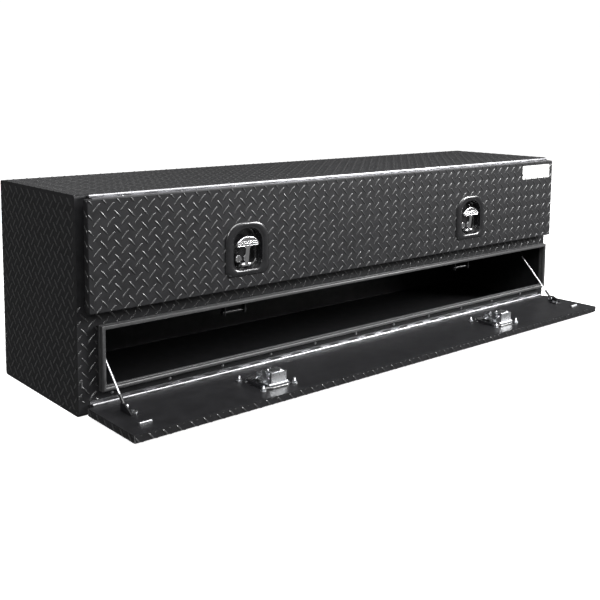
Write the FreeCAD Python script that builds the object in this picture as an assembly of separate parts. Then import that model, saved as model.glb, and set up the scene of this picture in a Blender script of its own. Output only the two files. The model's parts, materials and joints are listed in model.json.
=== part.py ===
import FreeCAD, Part
import functools
import math
import os

# Two-door truck tool box.  X runs along the box, Y from the front (-) to the back (+), Z up.
# The origin is the middle of the underside.  The upper door hinges along the top and is shut;
# the lower door hinges along the bottom and is let down, level, on its two wire cables.
# All sizes are in millimetres.

V = FreeCAD.Vector

# ---- Driving dimensions -------------------------------------------------------------------
LENGTH = 1829.0            # 72 inch box
DEPTH = 419.0              # 16.5 inch, doors left out
HEIGHT = 521.0             # 20.5 inch
SHEET = 2.5                # sheet thickness of body, doors and shelf
BEND = 8.0                 # outside radius of the body's folds
FRONT_LIP = 12.0           # how far the wrap folds down over the front
SHELF_TOP = 245.5          # top of the shelf between the compartments

DOOR_INSET = 14.2          # door end to body end
DOOR_THICK = 19.0
STANDOFF = 15.0            # body front to the door's inner face
DOOR_CORNER = 4.0
SPLIT_Z = 246.0            # middle of the gap between the two doors
DOOR_GAP = 5.0

UPPER_RIM_SIDE = 19.7      # upper door's edge to the outside of the rim's rubber, at the ends
UPPER_RIM_FREE = 16.0      # the same at its free edge
UPPER_RIM_HINGE = 24.0     # the same beside its hinge
LOWER_RIM_LEFT = 36.3      # the same four on the lower door, whose opening sits to the right
LOWER_RIM_RIGHT = 4.3
LOWER_RIM_FREE = 29.8
LOWER_RIM_HINGE = 24.0
RIM_CORNER = 6.0
FLANGE_OUT = 10.0          # how far the rim's flange stands out of the front
TRIM_WIDTH = 10.0          # width of the rubber on the flange
TRIM_ROOT = 2.5            # body front to the back of the rubber
SEAL_GAP = 0.5             # squeezed rubber to the shut door
FREE_SEAL = 25.0           # how far the unsqueezed rubber stands out of the front
SEAL_ROUND = 4.0

HINGE_INSET = 14.0         # hinge end to door end
PIN_R = 2.0
KNUCKLE_R = 4.5
KNUCKLE_PITCH = 36.0
KNUCKLE_GAP = 0.6
LEAF = 2.0                 # hinge leaf thickness
LEAF_BELOW = 18.0          # pin's axis to the lower edge of a leaf on the body
LEAF_ABOVE = 7.0           # pin's axis to its upper edge, lower hinge only
PIN_BACK = 2.5             # door's inner face to the pin's axis, towards the body
PIN_OUT = 5.0              # pin's axis to the door's edge
LOWER_PIN_Z = 27.0
UPPER_PIN_DOWN = 2.8       # body top to the upper pin's axis
RIVET_R = 4.5
RIVET_HIGH = 1.8
RIVET_TOP = 0.6            # width of a rivet head's top, as a share of its foot
SMALL_RIVET_R = 2.6        # rivets of the lower hinge's narrow leaf
SMALL_RIVET_HIGH = 1.2
RIVET_PITCH = 160.0
RIVET_DOWN = 12.0          # pin's axis down to the body's rivets, upper hinge
RIVET_UP = 4.0             # pin's axis up to the small ones, lower hinge
FRAME_RIVET_UP = 16.0      # pin's axis up to the rivets above the lower hinge's leaf
FRAME_RIVET_SHIFT = 22.0   # how far those sit to the left of the small ones
RUNNING = 0.06             # radial clearance of a pin in its bore

UPPER_LATCH_X = 451.0      # middle of the box to a latch of the upper door
LOWER_LATCH_X = 462.0      # the same on the lower door
UPPER_LATCH_UP = 104.5     # upper door's lower edge to its latches
LOWER_LATCH_UP = 113.0     # the same on the lower door
PLATE_W, PLATE_H = 138.0, 140.0
PLATE_TOP, PLATE_FOOT = 48.0, 19.0     # corner radii of the latch plate
BEZEL_W, BEZEL_H = 111.0, 125.0
BEZEL_WALL = 9.0
ROUND_TOP, ROUND_FOOT = 50.0, 34.0     # corner radii of the bezel
GASKET = 1.2
PLATE = 1.5
BEZEL_PROUD = 2.0
BOWL_DEEP = 26.0           # door's outer face to the back of the bowl
BOWL_WALL = 2.0
FIT = 0.5                  # hole edge to what passes through it
STUD_DX, STUD_DZ = 50.0, 50.0
STUD_R = 3.0
STUD_PROUD = 14.0
NUT_R = 6.5
NUT_HIGH = 6.0

TAIL_PIN_DOWN = 44.0       # latch middle to the handle's pin
TAIL_PIN_DEEP = 8.0        # door's outer face to the handle's pin
TAIL_PIN_R = 2.5
TAIL_BARREL_R = 5.5
TAIL_BARREL_W = 28.0
TAIL_THICK = 5.0
TAIL_FACE = -4.0           # front of the handle's head, from the door's outer face
STEM_W = 12.0
HEAD_W = 72.0              # handle's head, side to side
HEAD_FOOT = 5.0            # latch middle to the head's underside
HEAD_SHOULDER = 13.0       # latch middle to where the head is widest
HEAD_CROWN = 31.5          # latch middle to the top of the head
HEAD_ROUND = 6.0           # rounding of the head's lower corners
STEM_FLARE = 9.0           # how far the stem spreads on each side as it meets the head
EAR = 3.0
EAR_GAP = 1.5

PLUG_X, PLUG_Z = -19.0, -28.0          # lock, from the latch middle
PLUG_R = 8.0
PLUG_HEAD_R = 9.5
PLUG_HEAD = 2.0
PLUG_FACE = 10.5           # front of the lock, from the door's outer face
KEY_LONG, KEY_WIDE, KEY_DEEP = 9.0, 1.6, 5.0

CLAW_DOWN = 35.0           # latch middle to the claw's pin
CLAW_PIN_DEEP = 34.0       # door's outer face to the claw's pin
CLAW_PIN_R = 3.0
CLAW_HUB_R = 5.0
CLAW_THICK = 8.0
STRIKER_REACH = 11.0       # claw's pin to the striker bolt
STRIKER_R = 4.0
HOOK_GAP = 0.7             # hook to the striker bolt
HOOK_WIDE = 3.8
HOOK_FROM, HOOK_TO, ARM_FROM = 30.0, 92.0, 74.0   # degrees above straight in, claw open
CLAW_TURN = 44.0           # degrees the claw swings down to hold the striker
CASE_W = 48.0
CASE_WALL = 2.5
CASE_ABOVE, CASE_BELOW = 24.0, 14.0    # case's outside above and below the claw's pin
CASE_BACK = 56.5           # door's outer face to the back of the case
CASE_FOOT_W = 62.0
THROAT = 5.2               # half the throat's width
THROAT_MOUTH = 10.5        # half its width at the mouth
THROAT_GAP = 0.8

ARM_X = 31.0               # latch middle to the striker bracket's arm
ARM = 3.0
ARM_DEEP = 14.0
STRIKER_FOOT = 19.0
BOLT_HEAD, BOLT_HEAD_R = 4.0, 6.5

STRUT_IN = 64.5            # body end to the strut's axis
STRUT_R = 9.0
STRUT_BORE = 7.5
ROD_R = 4.0
PISTON_GAP = 0.3
EYE_R = 7.0
EYE_W = 10.0
BALL_R = 4.0
STRUT_DOOR_IN = 16.0       # door's inner face to the strut's door pivot
STRUT_DOOR_DOWN = 66.0     # upper pin to the strut's door pivot
STRUT_BODY_BACK = 220.0    # body front to the strut's body pivot
STRUT_BODY_UP = 100.0      # shelf to the strut's body pivot
STRUT_TUBE_END = 27.0      # door pivot to the end of the tube
BRACKET = 3.0
BRACKET_FOOT = 26.0        # height of the door bracket's foot

CABLE_R = 2.5
CABLE_IN = 57.3            # door end to the cable
CABLE_BACK = 61.5          # body front to the cable's upper end
CABLE_DROP = 55.0          # shelf's underside down to the cable's upper end
CABLE_DOOR_OUT = 75.0      # lower pin to the cable's lower end
CABLE_DOOR_UP = 10.5       # door's inner face to the cable's lower end
FERRULE_R = 4.2
FERRULE_LONG = 24.0
CABLE_EYE_R = 8.5
CABLE_EYE = 4.0
CABLE_POST_R = 4.0
POST_GAP = 0.4
CABLE_FOOT = 26.0
CABLE_FOOT_LONG = 37.0     # cable's lower end to the far end of its bracket
CABLE_SCREWS = (17.0, 29.0)    # and to the bracket's two screws
BAR_LONG, BAR_WIDE, BAR_HIGH = 32.0, 7.0, 5.0
BAR_OUT = 166.0            # lower pin to the small stop bar

BADGE_W, BADGE_H, BADGE = 155.0, 46.0, 0.8
BADGE_IN, BADGE_DOWN = 19.0, 11.0      # badge to the upper door's end and top

# ---- Places worked out from them ------------------------------------------------------------
HALF = LENGTH / 2
FRONT = -DEPTH / 2
DOOR_BACK = FRONT - STANDOFF           # doors' inner face, shut
DOOR_FACE = DOOR_BACK - DOOR_THICK     # doors' outer face, shut
DOOR_HALF = HALF - DOOR_INSET
PIN_Y = DOOR_BACK + PIN_BACK
UPPER_PIN_Z = HEIGHT - UPPER_PIN_DOWN
UPPER_DOOR = (SPLIT_Z + DOOR_GAP / 2, UPPER_PIN_Z - PIN_OUT)
LOWER_DOOR = (LOWER_PIN_Z + PIN_OUT, SPLIT_Z - DOOR_GAP / 2)
HINGE_HALF = DOOR_HALF - HINGE_INSET
UPPER_RIM = (                          # outside of the rubber: x0, x1, z0, z1
    -DOOR_HALF + UPPER_RIM_SIDE, DOOR_HALF - UPPER_RIM_SIDE,
    UPPER_DOOR[0] + UPPER_RIM_FREE, UPPER_DOOR[1] - UPPER_RIM_HINGE,
)
LOWER_RIM = (
    -DOOR_HALF + LOWER_RIM_LEFT, DOOR_HALF - LOWER_RIM_RIGHT,
    LOWER_DOOR[0] + LOWER_RIM_HINGE, LOWER_DOOR[1] - LOWER_RIM_FREE,
)
TRIM_SIDE = (TRIM_WIDTH - SHEET) / 2
UPPER_LATCH_Z = UPPER_DOOR[0] + UPPER_LATCH_UP
LOWER_LATCH_Z = LOWER_DOOR[0] + LOWER_LATCH_UP
SHELF_BOTTOM = SHELF_TOP - SHEET
OPEN_FACE_Z = LOWER_PIN_Z - PIN_BACK   # lower door's inner face when let down


# ---- Small makers ---------------------------------------------------------------------------
def block(x0, x1, y0, y1, z0, z1):
    return Part.makeBox(x1 - x0, y1 - y0, z1 - z0, V(x0, y0, z0))


def rod(radius, start, end):
    start, end = V(*start), V(*end)
    along = end - start
    return Part.makeCylinder(radius, along.Length, start, along)


def fuse(shapes):
    whole = shapes[0].fuse(shapes[1:]) if len(shapes) > 1 else shapes[0]
    return whole.removeSplitter()


def group(shapes):
    return Part.makeCompound(shapes)


def mirrored(shape):
    return shape.mirror(V(0, 0, 0), V(1, 0, 0))


def both_ends(shape):
    return group([shape, mirrored(shape)])


def lay_down(shape):
    """Swing a piece of the lower door from shut to level."""
    turned = shape.copy()
    turned.rotate(V(0, PIN_Y, LOWER_PIN_Z), V(1, 0, 0), 90)
    return turned


def outline(x0, x1, z0, z1, top, foot, y):
    """Face in the XZ plane: a rectangle whose upper and lower corners have their own radii."""
    def corner(cx, cz, radius, first):
        a = [math.radians(first + turn) for turn in (0, 45, 90)]
        return [V(cx + radius * math.cos(t), y, cz + radius * math.sin(t)) for t in a]

    arcs = [
        corner(x1 - top, z1 - top, top, 0),
        corner(x0 + top, z1 - top, top, 90),
        corner(x0 + foot, z0 + foot, foot, 180),
        corner(x1 - foot, z0 + foot, foot, 270),
    ]
    edges = []
    for here, following in zip(arcs, arcs[1:] + arcs[:1]):
        edges.append(Part.Arc(*here).toShape())
        if here[2].distanceToPoint(following[0]) > 1e-6:
            edges.append(Part.LineSegment(here[2], following[0]).toShape())
    return Part.Face(Part.Wire(edges))


def slab(x0, x1, z0, z1, y0, y1, radius):
    return outline(x0, x1, z0, z1, radius, radius, y0).extrude(V(0, y1 - y0, 0))


def grown(opening, grow):
    """An opening (x0, x1, z0, z1) made larger on all four sides."""
    x0, x1, z0, z1 = opening
    return x0 - grow, x1 + grow, z0 - grow, z1 + grow


def ring(opening, grow_out, grow_in, y0, y1, radius):
    """Rectangular ring round an opening, by how far its two edges lie outside it."""
    outer = slab(*grown(opening, grow_out), y0, y1, radius)
    inner_radius = max(radius - (grow_out - grow_in), 1.0)
    return outer.cut(slab(*grown(opening, grow_in), y0, y1, inner_radius))


def edges_on(shape, y):
    """Edges of a shape that lie in one plane across Y."""
    found = []
    for edge in shape.Edges:
        box = edge.BoundBox
        if abs(box.YMin - y) < 1e-4 and abs(box.YMax - y) < 1e-4:
            found.append(edge)
    return found


# ---- Body -----------------------------------------------------------------------------------
def side_profile(grow, x):
    """The body's outline seen from the end, as a face across X, drawn in by -grow."""
    radius = BEND + grow
    face = outline(-DEPTH / 2 - grow, DEPTH / 2 + grow, -grow, HEIGHT + grow, radius, radius, 0)
    face.rotate(V(0, 0, 0), V(0, 0, 1), 90)
    face.translate(V(x, 0, 0))
    return face


def body_wrap():
    inside = HALF - SHEET
    long = V(2 * inside, 0, 0)
    shell = side_profile(0, -inside).extrude(long).cut(side_profile(-SHEET, -inside).extrude(long))
    mouth = block(-HALF, HALF, FRONT - 1, FRONT + SHEET, FRONT_LIP, HEIGHT - FRONT_LIP)
    return shell.cut(mouth)


def end_panel(side):
    x = HALF - SHEET if side > 0 else -HALF
    return side_profile(0, x).extrude(V(SHEET, 0, 0))


def hole_line(rim):
    """Opening in the front, inside the flange: the rubber's middle line less half a sheet."""
    return grown(rim, TRIM_SIDE - TRIM_WIDTH)


def front_frame():
    inside = HALF - SHEET
    plate = block(-inside, inside, FRONT, FRONT + SHEET, FRONT_LIP, HEIGHT - FRONT_LIP)
    flanges = []
    for rim in (UPPER_RIM, LOWER_RIM):
        opening = hole_line(rim)
        plate = plate.cut(slab(*opening, FRONT - 1, FRONT + SHEET + 1, RIM_CORNER))
        flanges.append(ring(opening, SHEET, 0, FRONT - FLANGE_OUT, FRONT + SHEET, RIM_CORNER + SHEET))
    return fuse([plate] + flanges)


def divider_shelf():
    inside = HALF - SHEET
    return block(-inside, inside, FRONT + SHEET, DEPTH / 2 - SHEET, SHELF_BOTTOM, SHELF_TOP)


def rim_seal(rim, proud):
    opening = hole_line(rim)
    front = FRONT - proud
    rubber = ring(opening, SHEET + TRIM_SIDE, -TRIM_SIDE, front, FRONT - TRIM_ROOT, RIM_CORNER + SHEET)
    rubber = rubber.makeFillet(SEAL_ROUND, edges_on(rubber, front))
    groove = ring(opening, SHEET, 0, FRONT - FLANGE_OUT, FRONT, RIM_CORNER + SHEET)
    return rubber.cut(groove)


# ---- Hinges ---------------------------------------------------------------------------------
def knuckle_spans(first):
    """X ranges of one leaf's knuckles; the body's leaf takes the even ones, both ends included."""
    count = 2 * int(HINGE_HALF / KNUCKLE_PITCH) + 1
    pitch = 2 * HINGE_HALF / count
    spans = []
    for i in range(first, count, 2):
        x = -HINGE_HALF + i * pitch
        spans.append((x + KNUCKLE_GAP / 2, x + pitch - KNUCKLE_GAP / 2))
    return spans


def hinge_pin(z):
    return rod(PIN_R, (-HINGE_HALF, PIN_Y, z), (HINGE_HALF, PIN_Y, z))


def body_leaf(z, above):
    """Leaf on the body's front: a strip beside the pin, joined to its knuckles by tabs."""
    pieces = [block(-HINGE_HALF, HINGE_HALF, FRONT - LEAF, FRONT, z - LEAF_BELOW, z + above)]
    for x0, x1 in knuckle_spans(0):
        pieces.append(rod(KNUCKLE_R, (x0, PIN_Y, z), (x1, PIN_Y, z)))
        pieces.append(block(x0, x1, PIN_Y, FRONT, z - LEAF / 2, z + LEAF / 2))
    return fuse(pieces).cut(hinge_pin(z))


def door_leaf(z, inward):
    """Leaf on the door's hinge edge, built with the door shut."""
    near, far = z + inward * (PIN_OUT - LEAF), z + inward * PIN_OUT
    low, high = min(near, far), max(near, far)
    strip_end = PIN_Y - KNUCKLE_R - KNUCKLE_GAP
    strip = block(-HINGE_HALF, HINGE_HALF, DOOR_FACE + BEND / 4, strip_end, low, high)
    pieces = [strip]
    for x0, x1 in knuckle_spans(1):
        pieces.append(rod(KNUCKLE_R, (x0, PIN_Y, z), (x1, PIN_Y, z)))
        pieces.append(block(x0, x1, strip_end, PIN_Y, low, high))
    bore = rod(PIN_R + RUNNING, (-HINGE_HALF, PIN_Y, z), (HINGE_HALF, PIN_Y, z))
    return fuse(pieces).cut(bore)


def rivet_row():
    count = round(2 * HINGE_HALF / RIVET_PITCH)
    return [(i + 0.5 - count / 2) * (2 * HINGE_HALF / count) for i in range(count)]


def rivet(x, y, z, direction, radius=RIVET_R, high=RIVET_HIGH):
    """Rivet head standing on a face, narrower at its top."""
    return Part.makeCone(radius, radius * RIVET_TOP, high, V(x, y, z), V(*direction))


def body_rivets():
    y = FRONT - LEAF
    heads = []
    for x in rivet_row():
        heads.append(rivet(x, y, UPPER_PIN_Z - RIVET_DOWN, (0, -1, 0)))
        z = LOWER_PIN_Z + RIVET_UP
        heads.append(rivet(x, y, z, (0, -1, 0), SMALL_RIVET_R, SMALL_RIVET_HIGH))
        heads.append(rivet(x - FRAME_RIVET_SHIFT, FRONT, LOWER_PIN_Z + FRAME_RIVET_UP, (0, -1, 0)))
    return group(heads)


def door_rivets(z, inward):
    y = (DOOR_FACE + PIN_Y - KNUCKLE_R) / 2
    face = z + inward * (PIN_OUT - LEAF)
    return [rivet(x, y, face, (0, 0, -inward)) for x in rivet_row()]


# ---- Doors ----------------------------------------------------------------------------------
def latch_holes(level, y0, y1):
    """Cuts through a door for both of its latches: the bowl and the studs."""
    cuts = []
    for x, z, place in latch_places(level):
        bowl = bowl_outline(x, z, BOWL_WALL + FIT, y0).extrude(V(0, y1 - y0, 0))
        studs = [rod(STUD_R + FIT, (sx, y0, sz), (sx, y1, sz)) for sx, sz in stud_places(x, z)]
        cuts += [place(cut) for cut in [bowl] + studs]
    return cuts


def door_skin(span, level):
    shell = slab(-DOOR_HALF, DOOR_HALF, span[0], span[1], DOOR_FACE, DOOR_BACK, DOOR_CORNER)
    shell = shell.makeFillet(SHEET, edges_on(shell, DOOR_FACE))
    hollow = slab(
        -DOOR_HALF + SHEET, DOOR_HALF - SHEET, span[0] + SHEET, span[1] - SHEET,
        DOOR_FACE + SHEET, DOOR_BACK + 1, DOOR_CORNER - SHEET,
    )
    return shell.cut([hollow] + latch_holes(level, DOOR_FACE - 1, DOOR_FACE + SHEET + 1))


def door_liner(span, level):
    plate = slab(
        -DOOR_HALF + SHEET, DOOR_HALF - SHEET, span[0] + SHEET, span[1] - SHEET,
        DOOR_BACK - SHEET, DOOR_BACK, DOOR_CORNER - SHEET,
    )
    return plate.cut(latch_holes(level, DOOR_BACK - SHEET - 1, DOOR_BACK + 1))


def badge_plate():
    x1 = DOOR_HALF - BADGE_IN
    z1 = UPPER_DOOR[1] - BADGE_DOWN
    return slab(x1 - BADGE_W, x1, z1 - BADGE_H, z1, DOOR_FACE - BADGE, DOOR_FACE, 4.0)


# ---- Latches --------------------------------------------------------------------------------
# Every latch is drawn the same way up about its middle (x, z), with its claw below, and is then
# put in place: the lower door's latches are turned over, so that each claw is near the free edge.
def upright(x, z, shape):
    return shape.copy()


def turned_over(x, z, shape):
    turned = shape.copy()
    turned.rotate(V(x, 0, z), V(0, 1, 0), 180)
    return turned


def latch_places(level):
    """Middle of each latch on one door, and how to turn it there with the door shut."""
    if level == "upper":
        half, z, turn = UPPER_LATCH_X, UPPER_LATCH_Z, upright
    else:
        half, z, turn = LOWER_LATCH_X, LOWER_LATCH_Z, turned_over
    return [(x, z, functools.partial(turn, x, z)) for x in (-half, half)]


def bowl_outline(x, z, grow, y):
    """The bezel's inner edge, grown by a distance, as a face across Y."""
    half_w = BEZEL_W / 2 - BEZEL_WALL + grow
    half_h = BEZEL_H / 2 - BEZEL_WALL + grow
    top, foot = ROUND_TOP - BEZEL_WALL + grow, ROUND_FOOT - BEZEL_WALL + grow
    return outline(x - half_w, x + half_w, z - half_h, z + half_h, top, foot, y)


def plate_outline(x, z, y):
    half_w, half_h = PLATE_W / 2, PLATE_H / 2
    return outline(x - half_w, x + half_w, z - half_h, z + half_h, PLATE_TOP, PLATE_FOOT, y)


def stud_places(x, z):
    return [(x + dx, z + dz) for dx in (-STUD_DX, STUD_DX) for dz in (-STUD_DZ, STUD_DZ)]


def latch_gasket(x, z):
    pad = plate_outline(x, z, DOOR_FACE - GASKET).extrude(V(0, GASKET, 0))
    hole = bowl_outline(x, z, BOWL_WALL + FIT, DOOR_FACE - GASKET - 1).extrude(V(0, GASKET + 2, 0))
    holes = [rod(STUD_R, (sx, DOOR_FACE - 9, sz), (sx, DOOR_FACE + 1, sz)) for sx, sz in stud_places(x, z)]
    return pad.cut([hole] + holes)


def latch_dish(x, z):
    plate_back = DOOR_FACE - GASKET
    plate_face = plate_back - PLATE
    bowl_back = DOOR_FACE + BOWL_DEEP
    plate = plate_outline(x, z, plate_face).extrude(V(0, PLATE, 0))
    bezel_face = plate_face - BEZEL_PROUD
    bezel = bowl_outline(x, z, BEZEL_WALL, bezel_face).extrude(V(0, BEZEL_PROUD, 0))
    bezel = bezel.makeFillet(BEZEL_PROUD * 0.8, edges_on(bezel, bezel_face))
    cup = bowl_outline(x, z, BOWL_WALL, plate_face).extrude(V(0, bowl_back - plate_face, 0))
    cup = cup.makeFillet(BEND, edges_on(cup, bowl_back))
    hollow = bowl_outline(x, z, 0, bezel_face - 1).extrude(V(0, bowl_back - BOWL_WALL - bezel_face + 1, 0))
    hollow = hollow.makeFillet(BEND - BOWL_WALL, edges_on(hollow, bowl_back - BOWL_WALL))
    shell = fuse([plate, bezel, cup]).cut(hollow)

    floor = bowl_back - BOWL_WALL / 2
    pin_y, pin_z = DOOR_FACE + TAIL_PIN_DEEP, z - TAIL_PIN_DOWN
    pieces = [shell]
    for ear_x in (TAIL_BARREL_W / 2 + EAR_GAP, -TAIL_BARREL_W / 2 - EAR_GAP - EAR):
        ear = block(x + ear_x, x + ear_x + EAR, pin_y, floor, pin_z - TAIL_BARREL_R, pin_z + TAIL_BARREL_R)
        cap = rod(TAIL_BARREL_R, (x + ear_x, pin_y, pin_z), (x + ear_x + EAR, pin_y, pin_z))
        pieces += [ear, cap]
    boss_y = DOOR_FACE + PLUG_FACE + PLUG_HEAD + POST_GAP
    lock = (x + PLUG_X, z + PLUG_Z)
    pieces.append(rod(PLUG_HEAD_R + BOWL_WALL, (lock[0], boss_y, lock[1]), (lock[0], floor, lock[1])))
    whole = fuse(pieces)
    bore = rod(PLUG_R + RUNNING, (lock[0], boss_y - 1, lock[1]), (lock[0], bowl_back + 1, lock[1]))
    return whole.cut([bore, tail_pin(x, z)])


def tail_pin(x, z):
    reach = TAIL_BARREL_W / 2 + EAR_GAP + EAR
    y, pin_z = DOOR_FACE + TAIL_PIN_DEEP, z - TAIL_PIN_DOWN
    return rod(TAIL_PIN_R, (x - reach, y, pin_z), (x + reach, y, pin_z))


def whale_tail(x, z):
    """Handle: a domed head on a slim stem, with a barrel round its pin."""
    head_y = DOOR_FACE + TAIL_FACE

    def p(dx, dz):
        return V(x + dx, head_y, z + dz)

    half_stem, half_head = STEM_W / 2, HEAD_W / 2
    root = HEAD_FOOT - 8
    foot_in, foot_out = half_stem + STEM_FLARE, half_head - HEAD_ROUND
    edges = []
    for s in (-1, 1):
        flare = (p(s * half_stem, root), p(s * (half_stem + 2.5), HEAD_FOOT - 2.5), p(s * foot_in, HEAD_FOOT))
        widest = p(s * half_head, HEAD_SHOULDER)
        corner = (p(s * foot_out, HEAD_FOOT), p(s * (half_head - 0.6), HEAD_FOOT + 2.6), widest)
        edges.append(Part.Arc(*flare).toShape())
        edges.append(Part.LineSegment(flare[2], corner[0]).toShape())
        edges.append(Part.Arc(*corner).toShape())
    crown = (p(-half_head, HEAD_SHOULDER), p(0, HEAD_CROWN), p(half_head, HEAD_SHOULDER))
    edges.append(Part.Arc(*crown).toShape())
    edges.append(Part.LineSegment(p(-half_stem, root), p(half_stem, root)).toShape())
    head = Part.Face(Part.Wire(Part.__sortEdges__(edges))).extrude(V(0, TAIL_THICK, 0))
    head = head.makeFillet(1.2, edges_on(head, head_y))

    pin_y, pin_z = DOOR_FACE + TAIL_PIN_DEEP, z - TAIL_PIN_DOWN
    side_view = [
        V(x, head_y, z + 6), V(x, head_y + TAIL_THICK, z + 6),
        V(x, pin_y + TAIL_BARREL_R, pin_z), V(x, pin_y - TAIL_BARREL_R, pin_z),
    ]
    stem = Part.Face(Part.makePolygon(side_view + side_view[:1])).extrude(V(STEM_W, 0, 0))
    stem.translate(V(-half_stem, 0, 0))
    barrel_end = TAIL_BARREL_W / 2
    barrel = rod(TAIL_BARREL_R, (x - barrel_end, pin_y, pin_z), (x + barrel_end, pin_y, pin_z))
    bore = rod(TAIL_PIN_R + RUNNING, (x - barrel_end - 1, pin_y, pin_z), (x + barrel_end + 1, pin_y, pin_z))
    return fuse([head, stem, barrel]).cut(bore)


def lock_plug(latch_x, z):
    x, lock_z = latch_x + PLUG_X, z + PLUG_Z
    face = DOOR_FACE + PLUG_FACE
    head = rod(PLUG_HEAD_R, (x, face, lock_z), (x, face + PLUG_HEAD, lock_z))
    head = head.makeFillet(PLUG_HEAD / 2, edges_on(head, face))
    shank = rod(PLUG_R, (x, face, lock_z), (x, DOOR_FACE + BOWL_DEEP - POST_GAP, lock_z))
    half_wide, half_long = KEY_WIDE / 2, KEY_LONG / 2
    low, high = lock_z - half_long, lock_z + half_long
    key = block(x - half_wide, x + half_wide, face - 1, face + KEY_DEEP, low, high)
    return fuse([head, shank]).cut(key)


def claw_axis(z):
    return DOOR_FACE + CLAW_PIN_DEEP, z - CLAW_DOWN


def claw_pin(x, z):
    y, pin_z = claw_axis(z)
    return rod(CLAW_PIN_R, (x - CASE_W / 2, y, pin_z), (x + CASE_W / 2, y, pin_z))


def latch_case(x, z):
    """Plated case behind the bowl, with a throat that the striker bolt enters from behind."""
    y, pin_z = claw_axis(z)
    base = DOOR_FACE + BOWL_DEEP
    back = DOOR_FACE + CASE_BACK
    low, high = pin_z - CASE_BELOW, pin_z + CASE_ABOVE
    wall, half, half_foot = CASE_WALL, CASE_W / 2, CASE_FOOT_W / 2
    foot = block(x - half_foot, x + half_foot, base, base + wall, low - wall, high + wall)
    shell = block(x - half, x + half, base, back, low, high)
    inside = block(
        x - half + wall, x + half - wall, base + wall, back - wall, low + wall, high - wall,
    )
    reach_y = y + STRIKER_REACH
    throat_side = [
        (reach_y - STRIKER_R - THROAT_GAP, THROAT),
        (reach_y - STRIKER_R, THROAT),
        (back + 1, THROAT_MOUTH),
    ]
    upper_side = [V(x - half - 1, depth, pin_z + wide) for depth, wide in throat_side]
    lower_side = [V(x - half - 1, depth, pin_z - wide) for depth, wide in reversed(throat_side)]
    corners = upper_side + lower_side
    throat = Part.Face(Part.makePolygon(corners + corners[:1])).extrude(V(CASE_W + 2, 0, 0))
    return fuse([foot, shell]).cut([inside, throat, claw_pin(x, z)])


def latch_claw(x, z):
    """Swinging hook, open: its arc lies round the pin and turns down behind the striker bolt."""
    y, pin_z = claw_axis(z)
    inner = STRIKER_REACH + STRIKER_R + HOOK_GAP
    outer = inner + HOOK_WIDE

    def at(radius, degrees):
        turn = math.radians(degrees)
        return V(x - CLAW_THICK / 2, y + radius * math.cos(turn), pin_z + radius * math.sin(turn))

    def sector(first, last, r0, r1):
        middle = (first + last) / 2
        edges = [
            Part.Arc(at(r1, first), at(r1, middle), at(r1, last)).toShape(),
            Part.LineSegment(at(r1, last), at(r0, last)).toShape(),
            Part.Arc(at(r0, last), at(r0, middle), at(r0, first)).toShape(),
            Part.LineSegment(at(r0, first), at(r1, first)).toShape(),
        ]
        return Part.Face(Part.Wire(edges)).extrude(V(CLAW_THICK, 0, 0))

    hook = sector(HOOK_FROM, HOOK_TO, inner, outer)
    arm = sector(ARM_FROM, HOOK_TO, CLAW_PIN_R + 1, inner + HOOK_WIDE / 2)
    hub_half = CASE_W / 2 - CASE_WALL - POST_GAP
    hub = rod(CLAW_HUB_R, (x - hub_half, y, pin_z), (x + hub_half, y, pin_z))
    bore = rod(CLAW_PIN_R + RUNNING, (x - hub_half - 1, y, pin_z), (x + hub_half + 1, y, pin_z))
    return fuse([hook, arm, hub]).cut(bore)


def latch_stud(x, z):
    """Stud from the latch plate through the door, with its nut on the inner face."""
    tip = DOOR_BACK + STUD_PROUD
    stud = rod(STUD_R, (x, DOOR_FACE - GASKET, z), (x, tip, z))
    nut = rod(NUT_R, (x, DOOR_BACK, z), (x, DOOR_BACK + NUT_HIGH, z))
    return fuse([stud, nut])


# ---- Strikers -------------------------------------------------------------------------------
def striker(x, z, edge):
    """Bracket behind the front with two arms, and the bolt across them that the claw holds.

    edge is the distance from the latch's middle down to the edge of the opening.
    """
    y, pin_z = claw_axis(z)
    bolt_y = y + STRIKER_REACH
    back = FRONT + SHEET
    top = z - edge - FIT
    low = top - STRIKER_FOOT
    pieces = [block(x - ARM_X - ARM, x + ARM_X + ARM, back, back + ARM, low, top)]
    for arm_x in (x - ARM_X - ARM, x + ARM_X):
        pieces.append(block(arm_x, arm_x + ARM, back, back + ARM_DEEP, low, pin_z + STRIKER_R + ARM))
    reach = ARM_X + ARM
    bolt = [rod(STRIKER_R, (x - reach, bolt_y, pin_z), (x + reach, bolt_y, pin_z))]
    for end, out in ((x - reach, -BOLT_HEAD), (x + reach, BOLT_HEAD)):
        bolt.append(rod(BOLT_HEAD_R, (end, bolt_y, pin_z), (end + out, bolt_y, pin_z)))
    return [fuse(pieces).cut(bolt[0]), fuse(bolt)]


def strikers():
    upper_edge = UPPER_LATCH_Z - hole_line(UPPER_RIM)[2]
    lower_edge = hole_line(LOWER_RIM)[3] - LOWER_LATCH_Z
    pieces = []
    for level, edge in (("upper", upper_edge), ("lower", lower_edge)):
        for x, z, place in latch_places(level):
            pieces += [place(piece) for piece in striker(x, z, edge)]
    return group(pieces)


# ---- Struts that hold the upper door open -------------------------------------------------------
STRUT_X = HALF - STRUT_IN
STRUT_BODY = V(STRUT_X, FRONT + STRUT_BODY_BACK, SHELF_TOP + STRUT_BODY_UP)
STRUT_DOOR = V(STRUT_X, DOOR_BACK + STRUT_DOOR_IN, UPPER_PIN_Z - STRUT_DOOR_DOWN)


def strut_axis():
    along = STRUT_DOOR - STRUT_BODY
    return along.Length, along / along.Length


def on_strut(distance):
    along = strut_axis()[1]
    return STRUT_BODY + along * distance


def eye(centre):
    return rod(EYE_R, centre - V(EYE_W / 2, 0, 0), centre + V(EYE_W / 2, 0, 0))


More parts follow.
